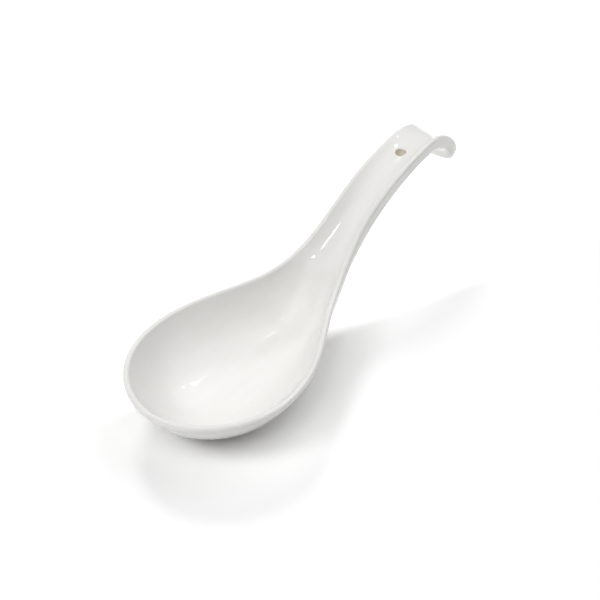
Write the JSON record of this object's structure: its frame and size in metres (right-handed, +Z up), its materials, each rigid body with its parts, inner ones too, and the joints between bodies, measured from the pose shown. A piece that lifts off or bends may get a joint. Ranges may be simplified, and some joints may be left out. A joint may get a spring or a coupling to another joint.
{
  "type": "chinese soup spoon",
  "caption": "White glazed porcelain soup spoon with a deep egg-shaped bowl on a flat foot and a rising channel handle that ends in a hook with a hanging hole.",
  "frame": {"origin": "on the flat foot, under the widest point of the bowl, in the middle of the spoon's width", "axes": "+X from the bowl towards the handle, +Z up from the foot, and the spoon is alike on both sides of the XZ plane"},
  "size_m": [0.1771, 0.0606, 0.0406],
  "materials": {
    "porcelain": "matte, unglazed",
    "glaze": "glossy, warm white"
  },
  "bodies": {
    "root": {"bowl": "porcelain", "handle": "porcelain", "upper_glaze": "glaze", "lower_glaze": "glaze"}
  },
  "joints": []
}
